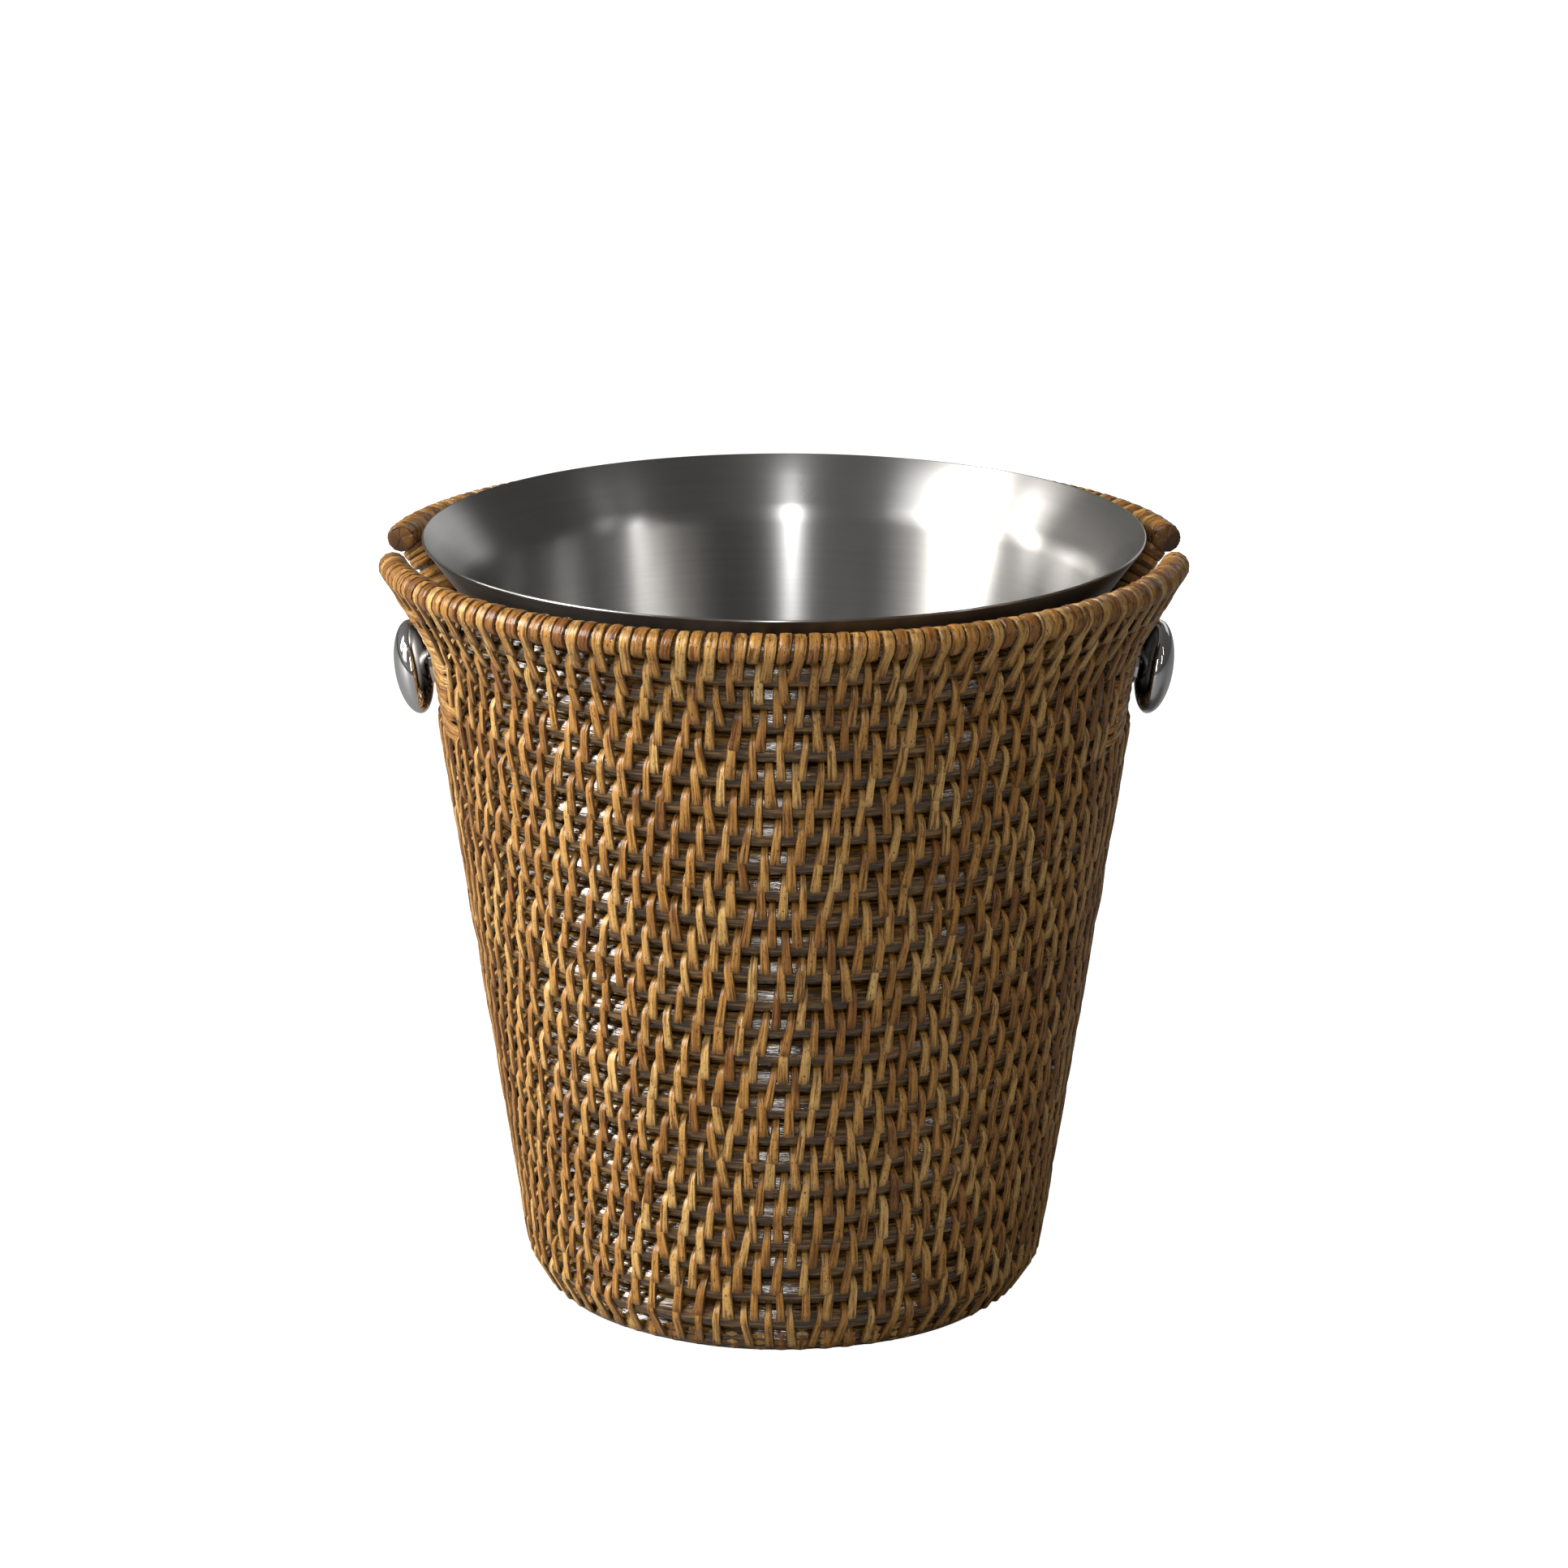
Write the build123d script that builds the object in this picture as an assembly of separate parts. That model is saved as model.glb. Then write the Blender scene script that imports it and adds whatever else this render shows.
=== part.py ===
"""A champagne bucket of spun steel that stands in a sleeve of coiled rattan.

The sleeve is a stack of cane courses on a slightly conical wall that flares under the rim. A slot at each
side, on +X and -X, cuts the rim and the top courses, and the necks of the bucket's two knobs drop into it.
All sizes are in millimetres. The origin is on the surface that the sleeve stands on, under its centre.
"""

from build123d import *
import os
from math import asin, cos, degrees, radians, sin, sqrt, tan

# ---- Driving dimensions -------------------------------------------------------------------------------------

# The coiled wall. Radii are those of the cane's centre line.
CANE_DIAMETER = 9.0
WALL_SLOPE = 0.1526             # growth of the radius for each millimetre of height
WALL_RADIUS_AT_FLOOR = 75.7
FIRST_COURSE_HEIGHT = 13.6
STRAIGHT_COURSES = 23
COURSE_RISE = 9.127
FLARE_STEPS = [(9.3, 24.0), (9.4, 30.0)]    # distance to the next course, and its angle from upright
FULL_COURSES = 20               # courses below the slots

# The foot that the sleeve stands on, and the floor inside it.
FOOT_RADIUS = 71.2
FOOT_SECTION_RADIUS = 5.3
FOOT_SECTION_HEIGHT = 4.9
MAT_RADIUS = 65.6
MAT_UNDERSIDE = 0.8
MAT_THICKNESS = 9.0
MAT_EDGE_RADIUS = 3.5

# The rim and the posts at the slot edges. Peel is the flat strand that they are wound with.
RIM_STEP = (10.9, 35.0)         # from the top course to the rim, as in FLARE_STEPS
RIM_ROD_RADIUS = 3.8
POST_ROD_RADIUS = 4.0
PEEL_THICKNESS = 0.85
WINDING_GAP = 0.05              # between a rod and its winding
SLOT_HALF_WIDTH = 20.2          # clear opening, from the middle to a post's winding
RIM_END_HALF_WIDTH = 21.0       # the rim stops here, just behind the posts
SEAT_GAP = 0.5                  # between a post and the courses and rim that it meets
POST_BEND_RADIUS = 24.0

# The steel bucket.
SHEET = 0.8
LIP_RADIUS = 114.0
LIP_HEIGHT = 245.7
LIP_FLARE = 37.0                # angle from upright, in degrees
LIP_EDGE_RADIUS = 0.3
LIP_SPARE = 5.0                 # drawn above the lip, then cut off level
SHOULDER_RADIUS = 15.0          # where the wall turns out into the flare
SHELL_RADIUS_AT_FLOOR = 66.0    # the wall's outside, carried down to the floor
SHELL_CORNER_RADIUS = 12.0
SHELL_CLEARANCE = 0.4           # between the bucket and the mat

# The knobs, on necks that stand square to the bucket's sloping wall.
KNOB_HEIGHT = 202.5
KNOB_CENTRE_RADIUS = 116.4      # of the knob's widest circle, from the middle of the bucket
KNOB_RADIUS = 15.0
KNOB_FRONT_DEPTH = 6.4
KNOB_BACK_DEPTH = 5.4
BACK_BULGE_ANGLE = 30.0         # where the section's curves are held to the ellipse, in degrees
FRONT_BULGE_ANGLE = 45.0
NECK_RADIUS = 6.0
STUD_RADIUS = 2.5
STUD_HOLE_RADIUS = 2.6
STUD_REACH = 4.0                # how far the stud goes into the knob
STUD_HOLE_SPARE = 0.5

# ---- Places worked out from them ----------------------------------------------------------------------------

CANE_RADIUS = CANE_DIAMETER / 2
POST_OUTER_RADIUS = POST_ROD_RADIUS + WINDING_GAP + PEEL_THICKNESS
RIM_OUTER_RADIUS = RIM_ROD_RADIUS + WINDING_GAP + PEEL_THICKNESS
POST_Y = SLOT_HALF_WIDTH + POST_OUTER_RADIUS
SLOPE_COSINE = 1 / sqrt(1 + WALL_SLOPE ** 2)
SHELL_UNDERSIDE = MAT_UNDERSIDE + MAT_THICKNESS + SHELL_CLEARANCE

# Heights along the knob's own axis, from its widest circle outwards.
KNOB_SEAT = -KNOB_BACK_DEPTH * sqrt(1 - (NECK_RADIUS / KNOB_RADIUS) ** 2)
NECK_START = -2 * KNOB_RADIUS   # well inside the bucket, before the end is cut to its curve


def wall_radius(height):
    """Radius of the courses' centre line on the straight part of the wall."""
    return WALL_RADIUS_AT_FLOOR + WALL_SLOPE * height


def step_out(place, step):
    """The next (radius, height) at a distance and an angle from upright."""
    distance, angle = step
    radius, height = place
    return (radius + distance * sin(radians(angle)), height + distance * cos(radians(angle)))


def course_places():
    """(radius, height) of every course's centre line, from the lowest up, and last the rim's."""
    heights = [FIRST_COURSE_HEIGHT + COURSE_RISE * k for k in range(STRAIGHT_COURSES)]
    places = [(wall_radius(height), height) for height in heights]
    for step in FLARE_STEPS + [RIM_STEP]:
        places.append(step_out(places[-1], step))
    return places


def arc_solid(section, radius, height, end_angle):
    """A section carried round the axis from one end angle, past the front, to the same angle beyond it.

    The end angle is measured from the X axis, so the arc is 180 degrees less twice that angle.
    """
    placed = Plane.XZ * Pos(radius, height) * section
    swept = revolve(placed, Axis.Z, revolution_arc=180 - 2 * end_angle)
    return Rot(0, 0, 180 + end_angle) * swept


def back_of(solid):
    """The same solid on the other side of the X axis."""
    return Rot(0, 0, 180) * solid


# ---- Sleeve -------------------------------------------------------------------------------------------------

def foot_course():
    """The lowest coil, flat underneath where it meets the surface."""
    ring = Pos(0, 0, FOOT_SECTION_HEIGHT) * Torus(FOOT_RADIUS, FOOT_SECTION_RADIUS)
    reach = 2 * (FOOT_RADIUS + FOOT_SECTION_RADIUS)
    floor = Pos(0, 0, -FOOT_SECTION_RADIUS) * Box(reach, reach, 2 * FOOT_SECTION_RADIUS)
    return ring - floor


def base_mat():
    """The sleeve's coiled floor as one round mat, just clear of the surface."""
    mat = Cylinder(MAT_RADIUS, MAT_THICKNESS, align=(Align.CENTER, Align.CENTER, Align.MIN))
    mat = fillet(mat.edges(), MAT_EDGE_RADIUS)
    return Pos(0, 0, MAT_UNDERSIDE) * mat


def full_course(radius, height):
    """A course that goes right round the wall."""
    return Pos(0, 0, height) * Torus(radius, CANE_RADIUS)


def cut_course(radius, height):
    """The front length of a course that the slots cut. It stops square against the posts."""
    post_angle = asin(POST_Y / radius)
    end_angle = post_angle + asin((POST_OUTER_RADIUS + SEAT_GAP) / radius)
    return arc_solid(Circle(CANE_RADIUS), radius, height, degrees(end_angle))


def rim_rod(place):
    """The front length of the rod that stiffens the rim."""
    end_angle = degrees(asin(RIM_END_HALF_WIDTH / place[0]))
    return arc_solid(Circle(RIM_ROD_RADIUS), *place, end_angle)


def rim_winding(place):
    """The peel wound on the front rim rod, as a tube."""
    end_angle = degrees(asin(RIM_END_HALF_WIDTH / place[0]))
    section = Circle(RIM_OUTER_RADIUS) - Circle(RIM_ROD_RADIUS + WINDING_GAP)
    return arc_solid(section, *place, end_angle)


def post_path(places):
    """Centre line of a post: up the wall from the last full course, then out along the flare to the rim.

    It lies in the upright plane y = POST_Y, so a radius becomes an x.
    """
    last_full_radius, last_full_height = places[FULL_COURSES - 1]
    foot_height = last_full_height + (CANE_RADIUS + SEAT_GAP) * SLOPE_COSINE
    top_radius, top_height = step_out(places[-1], (-(RIM_OUTER_RADIUS + SEAT_GAP), RIM_STEP[1]))
    flare_tangent = tan(radians(FLARE_STEPS[-1][1]))

    def inward(radius):
        return sqrt(radius ** 2 - POST_Y ** 2)

    foot = Vector(inward(wall_radius(foot_height)), POST_Y, foot_height)
    top = Vector(inward(top_radius), POST_Y, top_height)
    wall_run = WALL_SLOPE * wall_radius(foot_height) / foot.X
    bend_height = (top.X - foot.X - flare_tangent * top.Z + wall_run * foot.Z) / (wall_run - flare_tangent)
    bend = Vector(foot.X + wall_run * (bend_height - foot.Z), POST_Y, bend_height)
    return FilletPolyline(foot, bend, top, radius=POST_BEND_RADIUS)


def along_post(path, section):
    """A section carried up a post's centre line."""
    start = Plane(origin=path @ 0, z_dir=path % 0)
    return sweep(start * section, path=path)


def post_rod(path):
    """The rod at a slot edge."""
    return along_post(path, Circle(POST_ROD_RADIUS))


def post_winding(path):
    """The peel wound on a slot edge, as a tube."""
    return along_post(path, Circle(POST_OUTER_RADIUS) - Circle(POST_ROD_RADIUS + WINDING_GAP))


def four_corners(solid):
    """The back right, back left, front right and front left copies of a back right solid."""
    left = mirror(solid, Plane.YZ)
    return {
        "back_right": solid,
        "back_left": left,
        "front_right": mirror(solid, Plane.XZ),
        "front_left": mirror(left, Plane.XZ),
    }


# ---- Bucket -------------------------------------------------------------------------------------------------

def shell_outer_radius(height):
    """Outer radius of the bucket's sloping wall."""
    return SHELL_RADIUS_AT_FLOOR + WALL_SLOPE * height


def shell_profile():
    """Half of the bucket's outside as a face on the XZ plane, carried a little above the lip."""
    flare_tangent = tan(radians(LIP_FLARE))
    top = (LIP_RADIUS + LIP_SPARE * flare_tangent, LIP_HEIGHT + LIP_SPARE)
    gap = LIP_RADIUS - flare_tangent * LIP_HEIGHT - SHELL_RADIUS_AT_FLOOR
    shoulder_height = gap / (WALL_SLOPE - flare_tangent)
    shoulder = (shell_outer_radius(shoulder_height), shoulder_height)
    corner = (shell_outer_radius(SHELL_UNDERSIDE), SHELL_UNDERSIDE)
    outline = [(-top[0], top[1]), (-shoulder[0], shoulder[1]), (-corner[0], corner[1]), corner, shoulder, top]
    radii = [SHOULDER_RADIUS, SHELL_CORNER_RADIUS, SHELL_CORNER_RADIUS, SHOULDER_RADIUS]
    sides = FilletPolyline(*outline, radius=radii)
    return Plane.XZ * make_face(sides + Line(sides @ 1, sides @ 0))


def spun(profile):
    """A solid of revolution from a face that is the same on both sides of the axis, cut off at the lip."""
    reach = 2 * LIP_RADIUS
    half = Plane.XZ * Pos(reach / 2, LIP_HEIGHT / 2) * Rectangle(reach, LIP_HEIGHT)
    return revolve(profile & half, Axis.Z)


def bucket_solid():
    """The bucket as if it were full, which the necks and studs are seated against."""
    return spun(shell_profile())


def bucket_shell():
    """The bucket, spun from one sheet, with both edges of the lip rounded over."""
    inside = offset(shell_profile(), amount=-SHEET)
    shell = bucket_solid() - spun(inside)
    lip_edges = shell.edges().group_by(Axis.Z)[-1]
    return fillet(lip_edges, LIP_EDGE_RADIUS)


def on_knob_axis(solid):
    """Moves a solid made about the Z axis to the right knob, its top facing out and a little down."""
    outward = Vector(SLOPE_COSINE, 0, -WALL_SLOPE * SLOPE_COSINE)
    place = Plane(origin=(KNOB_CENTRE_RADIUS, 0, KNOB_HEIGHT), x_dir=(0, 1, 0), z_dir=outward)
    return place * solid


def rod_between(radius, low, high):
    """A cylinder about the Z axis from one height to another."""
    return Pos(0, 0, low) * Cylinder(radius, high - low, align=(Align.CENTER, Align.CENTER, Align.MIN))


def ellipse_point(depth, angle):
    """A point of the knob's section, an ellipse of this depth, at an angle from the widest circle."""
    return (KNOB_RADIUS * cos(radians(angle)), depth * sin(radians(angle)))


def knob():
    """A disc rounded like a pebble, each side a quarter of an ellipse in section.

    Its back is flat where it meets the neck, with a blind hole for the stud.
    """
    seat_slope = (KNOB_BACK_DEPTH / KNOB_RADIUS) ** 2 * NECK_RADIUS / -KNOB_SEAT
    edge = (KNOB_RADIUS, 0)
    seat = (NECK_RADIUS, KNOB_SEAT)
    crown = (0, KNOB_FRONT_DEPTH)
    back_bulge = ellipse_point(-KNOB_BACK_DEPTH, BACK_BULGE_ANGLE)
    front_bulge = ellipse_point(KNOB_FRONT_DEPTH, FRONT_BULGE_ANGLE)
    back = Spline(seat, back_bulge, edge, tangents=[(1, seat_slope), (0, 1)])
    front = Spline(edge, front_bulge, crown, tangents=[(0, 1), (-1, 0)])
    hole_end = KNOB_SEAT + STUD_REACH + STUD_HOLE_SPARE
    inside = Polyline(crown, (0, hole_end), (STUD_HOLE_RADIUS, hole_end), (STUD_HOLE_RADIUS, KNOB_SEAT), seat)
    return on_knob_axis(revolve(Plane.XZ * make_face(inside + back + front), Axis.Z))


def knob_neck(full_bucket):
    """The collar that holds the knob off the wall, its inner end cut to the bucket's curve."""
    collar = rod_between(NECK_RADIUS, NECK_START, KNOB_SEAT)
    collar = collar - rod_between(STUD_HOLE_RADIUS, NECK_START, KNOB_SEAT)
    return on_knob_axis(collar) - full_bucket


def knob_stud(full_bucket):
    """The stud that is welded to the wall and holds the neck and the knob."""
    return on_knob_axis(rod_between(STUD_RADIUS, NECK_START, KNOB_SEAT + STUD_REACH)) - full_bucket


# ---- The whole object, one file for each piece --------------------------------------------------------------

def all_pieces():
    """Every piece of the object under its own name."""
    places = course_places()
    rim_place = places[-1]
    pieces = {"foot_course": foot_course(), "base_mat": base_mat()}
    for number, place in enumerate(places[:-1], start=1):
        if number <= FULL_COURSES:
            pieces[f"wall_course_{number:02d}"] = full_course(*place)
        else:
            front = cut_course(*place)
            pieces[f"wall_course_{number:02d}_front"] = front
            pieces[f"wall_course_{number:02d}_back"] = back_of(front)
    for name, front in (("rim_rod", rim_rod(rim_place)), ("rim_winding", rim_winding(rim_place))):
        pieces[f"{name}_front"] = front
        pieces[f"{name}_back"] = back_of(front)
    path = post_path(places)
    for name, solid in (("slot_post", post_rod(path)), ("slot_winding", post_winding(path))):
        for corner, copy in four_corners(solid).items():
            pieces[f"{name}_{corner}"] = copy
    full_bucket = bucket_solid()
    pieces["bucket_shell"] = bucket_shell()
    knob_parts = {
        "knob": knob(),
        "knob_neck": knob_neck(full_bucket),
        "knob_stud": knob_stud(full_bucket),
    }
    for name, right in knob_parts.items():
        pieces[f"{name}_right"] = right
        pieces[f"{name}_left"] = back_of(right)
    return pieces


os.makedirs("parts", exist_ok=True)
for name, piece in all_pieces().items():
    export_step(piece, f"parts/{name}.step")
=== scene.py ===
"""A champagne bucket of spun steel in a sleeve of coiled rattan, in the order that it is put together."""

import bpy
import numpy as np
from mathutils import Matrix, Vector


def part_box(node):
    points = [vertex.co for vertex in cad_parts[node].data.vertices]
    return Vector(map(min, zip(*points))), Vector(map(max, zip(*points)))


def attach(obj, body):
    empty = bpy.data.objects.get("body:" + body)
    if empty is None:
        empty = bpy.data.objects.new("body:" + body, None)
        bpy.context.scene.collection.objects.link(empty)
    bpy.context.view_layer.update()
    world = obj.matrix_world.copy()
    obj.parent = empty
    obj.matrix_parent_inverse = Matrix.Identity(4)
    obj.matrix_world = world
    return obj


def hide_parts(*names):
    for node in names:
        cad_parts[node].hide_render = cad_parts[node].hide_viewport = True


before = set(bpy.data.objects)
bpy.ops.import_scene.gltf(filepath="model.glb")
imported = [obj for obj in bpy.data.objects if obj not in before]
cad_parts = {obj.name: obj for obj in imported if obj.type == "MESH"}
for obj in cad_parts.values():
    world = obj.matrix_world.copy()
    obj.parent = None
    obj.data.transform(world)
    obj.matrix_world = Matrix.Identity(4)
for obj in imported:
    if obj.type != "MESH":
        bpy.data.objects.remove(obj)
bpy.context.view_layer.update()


# ---- Cane courses ----------------------------------------------------------------------------------------
# The sleeve's foot and wall are round rattan canes, stained almost black and laid one on another in turns.
# Each cane is ridged along its length and varnished, and wanders a little, as bent cane does.
MM = 0.001
COURSES = 25                    # the foot is row 0 and the rim is the row above the last course
FULL_COURSES = 20               # those above are cut at the slots, into a front and a back arc
RIM_ROW = COURSES + 1
COURSE_LEAN = 1.45 * MM         # how far a course drops at the right and rises at the left
COURSE_WANDER = 0.30 * MM
BACK_DIP = 2.6 * MM             # how far the rim sinks at the back, where the sleeve has settled
CANE_STEPS = 216
CANE_SIDES = 12
CANE_SECTION = np.linspace(0, 2 * np.pi, CANE_SIDES, endpoint=False)    # angles round a cane
CANE_SWELL = 0.02               # how far a cane's radius swings about its mean, as a share of it


def reach_and_height(node):
    """Radius and height of a course's centre line, and half its thickness, from its box."""
    low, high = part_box(node)
    half = (high.z - low.z) / 2
    return max(-low.y, high.y) - half, low.z + half, half


def course_nodes(row):
    """The frame's nodes of one row, from the foot up to the rim."""
    if row == 0:
        return ["foot_course"]
    if row == RIM_ROW:
        return ["rim_winding_front", "rim_winding_back"]
    name = f"wall_course_{row:02d}"
    return [name] if row <= FULL_COURSES else [name + "_front", name + "_back"]


row_places = np.array([reach_and_height(course_nodes(row)[0]) for row in range(RIM_ROW + 1)])
row_radius, row_height, row_thickness = row_places.T


def course_line(row, angle):
    """Radius and height of a row's centre line at an angle from the front towards +X: the row's own circle,
    tilted down to the right, plus a slow wander of three waves. Tilt and wander fade out at the foot and
    the rim, and the top rows dip at the back."""
    row = np.asarray(row)
    share = row / RIM_ROW
    fade = 2 * np.sqrt(share * (1 - share))
    wander = np.sin(2 * angle + 1.7 * row) + np.sin(3 * angle + 2.9 * row) + np.sin(5 * angle + 4.1 * row)
    lift = np.sin(2 * angle + 0.9 * row) + np.sin(4 * angle + 2.3 * row)
    radius = row_radius[row] + fade * COURSE_WANDER * wander / 2
    height = row_height[row] + fade * (COURSE_WANDER * lift / 5 - COURSE_LEAN * np.sin(angle))
    height = height - BACK_DIP * share ** 8 * np.maximum(0, -np.cos(angle)) ** 0.7
    return radius, height


def around(radius, angle, height):
    """Points on circles about the Z axis, with the angle counted from the front (-Y) towards +X."""
    return np.stack([radius * np.sin(angle), -radius * np.cos(angle), height + 0 * radius * angle], axis=-1)


def lay_mesh(name, points, along, closed, tone=0.5, tuck=0.0):
    """One mesh of like strands. points[strand, ring, side] are joined side to side all the way round, and
    ring to ring; a closed strand joins its last ring to its first, and an open one gets a face on each end.
    The UV map "strand" runs in centimetres along the strand and from 0 to 1 round it. The faces are turned
    over if the volume they enclose, summed triangle by triangle, comes out negative. tone and tuck become
    attributes."""
    strands, rings, sides = points.shape[:3]
    index = np.arange(strands * rings * sides).reshape(strands, rings, sides)
    here = index if closed else index[:, :-1]
    ahead = np.roll(index, -1, axis=1) if closed else index[:, 1:]
    quads = np.stack([here, ahead, np.roll(ahead, -1, 2), np.roll(here, -1, 2)], axis=-1)
    along = np.broadcast_to(along, (strands, rings + 1 if closed else rings))
    steps = here.shape[1]
    u_here = np.broadcast_to(along[:, :steps, None], here.shape)
    u_ahead = np.broadcast_to(along[:, 1:steps + 1, None], here.shape)
    v_here = np.broadcast_to(np.arange(sides) / sides, here.shape)
    v_next = v_here + 1 / sides
    u_all = np.stack([u_here, u_ahead, u_ahead, u_here], axis=-1)
    v_all = np.stack([v_here, v_here, v_next, v_next], axis=-1)
    uv = np.stack([u_all * 100, v_all], axis=-1).reshape(-1, 4, 2)
    quads = quads.reshape(-1, 4)
    vertices = points.reshape(-1, 3)
    middle = np.broadcast_to(points.mean(axis=(1, 2), keepdims=True), points.shape).reshape(-1, 3)
    a, b, c, d = (vertices[quads[:, k]] - middle[quads[:, k]] for k in range(4))
    first_half = np.einsum("ij,ij->", np.cross(b - a, c - a), a)
    second_half = np.einsum("ij,ij->", np.cross(c - a, d - a), a)
    ends = np.empty((0, sides), int) if closed else np.concatenate([index[:, 0], index[:, -1, ::-1]])
    if first_half + second_half < 0:
        quads, uv, ends = quads[:, ::-1], uv[:, ::-1], ends[:, ::-1]
    mesh = bpy.data.meshes.new(name)
    mesh.from_pydata(vertices, [], quads.tolist() + ends.tolist())
    layer = mesh.uv_layers.new(name="strand")
    corner_uv = np.concatenate([uv.reshape(-1, 2), np.zeros((ends.size, 2))])
    layer.data.foreach_set("uv", corner_uv.astype(np.float32).ravel())
    for label, value in (("tone", tone), ("tuck", tuck)):
        value = np.asarray(value, float)
        value = value.reshape(value.shape + (1,) * (3 - value.ndim))
        spread = np.broadcast_to(value, (strands, rings, sides)).astype(np.float32)
        mesh.attributes.new(label, "FLOAT", "POINT").data.foreach_set("value", spread.ravel())
    mesh.shade_smooth()
    piece = bpy.data.objects.new(name, mesh)
    bpy.context.scene.collection.objects.link(piece)
    return piece


def cane(name, row, start, end):
    """A round tube along a row's centre line. Its section is a circle in the upright plane through the axis,
    and a cane that comes back to its start is closed."""
    closed = end - start > 2 * np.pi - 0.001
    steps = max(12, round(CANE_STEPS * (end - start) / (2 * np.pi)))
    angle = np.linspace(start, end, steps + 1)
    radius, height = course_line(row, angle)
    thickness = row_thickness[row] * (1 - CANE_SWELL * (1 + np.sin(7 * angle + row)))
    out = radius[:, None] + thickness[:, None] * np.cos(CANE_SECTION)
    up = height[:, None] + thickness[:, None] * np.sin(CANE_SECTION)
    points = around(out, angle[:, None], np.maximum(up, 0.0))
    along = angle * row_radius[row]
    tone = np.modf(row * 0.618)[0]
    return lay_mesh(name, (points[:-1] if closed else points)[None], along[None], closed, tone=[tone])


def add_node(tree, kind, inputs=None, **settings):
    """A shader node with its settings. Its inputs are given values, or linked to other nodes' outputs."""
    made = tree.nodes.new(kind)
    for label, value in settings.items():
        setattr(made, label, value)
    for label, value in (inputs or {}).items():
        if isinstance(value, bpy.types.NodeSocket):
            tree.links.new(value, made.inputs[label])
        else:
            made.inputs[label].default_value = value
    return made


def ramp(tree, value, stops):
    """A colour ramp through the given (position, colour) stops, with colours as red, green, blue."""
    made = add_node(tree, "ShaderNodeValToRGB", {"Fac": value})
    elements = made.color_ramp.elements
    while len(elements) < len(stops):
        elements.new(0.5)
    for element, (position, colour) in zip(elements, stops):
        element.position = position
        element.color = (*colour, 1)
    return made.outputs["Color"]


def new_group(name, inputs, outputs):
    """An empty shader node group. Inputs are (name, socket kind, value); outputs are (name, socket kind)."""
    group = bpy.data.node_groups.new(name, "ShaderNodeTree")
    for label, kind, value in inputs:
        socket = group.interface.new_socket(label, in_out="INPUT", socket_type=kind)
        socket.default_value = value
    for label, kind in outputs:
        group.interface.new_socket(label, in_out="OUTPUT", socket_type=kind)
    return group, group.nodes.new("NodeGroupInput"), group.nodes.new("NodeGroupOutput")


def fibre_group():
    """Fibres of rattan along the strand map: thin streaks, coarse ridges and dark flecks, each 0 to 1."""
    group, start, end = new_group(
        "rattan_fibre",
        [("Ridge Count", "NodeSocketFloat", 20.0), ("Tone", "NodeSocketFloat", 0.5)],
        [("Streak", "NodeSocketFloat"), ("Ridge", "NodeSocketFloat"), ("Fleck", "NodeSocketFloat")],
    )
    strand = add_node(group, "ShaderNodeUVMap", uv_map="strand").outputs["UV"]
    parts = add_node(group, "ShaderNodeSeparateXYZ", {"Vector": strand})
    across = add_node(group, "ShaderNodeMath", {0: parts.outputs["Y"], 1: start.outputs["Ridge Count"]},
                      operation="MULTIPLY")
    shift = add_node(group, "ShaderNodeMath", {0: start.outputs["Tone"], 1: 57.0}, operation="MULTIPLY")
    place = add_node(group, "ShaderNodeCombineXYZ",
                     {"X": parts.outputs["X"], "Y": across.outputs[0], "Z": shift.outputs[0]})
    slow = add_node(group, "ShaderNodeMapping", {"Vector": place.outputs[0], "Scale": (0.9, 1.0, 1.0)})
    streak = add_node(group, "ShaderNodeTexNoise",
                      {"Vector": slow.outputs[0], "Scale": 1.0, "Detail": 3.0, "Roughness": 0.6})
    coarse = add_node(group, "ShaderNodeMapping", {"Vector": place.outputs[0], "Scale": (0.3, 0.55, 1.0)})
    ridge = add_node(group, "ShaderNodeTexNoise",
                     {"Vector": coarse.outputs[0], "Scale": 1.0, "Detail": 1.0, "Roughness": 0.4})
    dense = add_node(group, "ShaderNodeMapping", {"Vector": place.outputs[0], "Scale": (9.0, 1.4, 1.0)})
    dots = add_node(group, "ShaderNodeTexNoise",
                    {"Vector": dense.outputs[0], "Scale": 1.0, "Detail": 2.0, "Roughness": 0.7})
    fleck = add_node(group, "ShaderNodeMapRange",
                     {"Value": dots.outputs["Fac"], "From Min": 0.57, "From Max": 0.70})
    group.links.new(streak.outputs["Fac"], end.inputs["Streak"])
    group.links.new(ridge.outputs["Fac"], end.inputs["Ridge"])
    group.links.new(fleck.outputs["Result"], end.inputs["Fleck"])
    return group


rattan_fibre = fibre_group()


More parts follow.
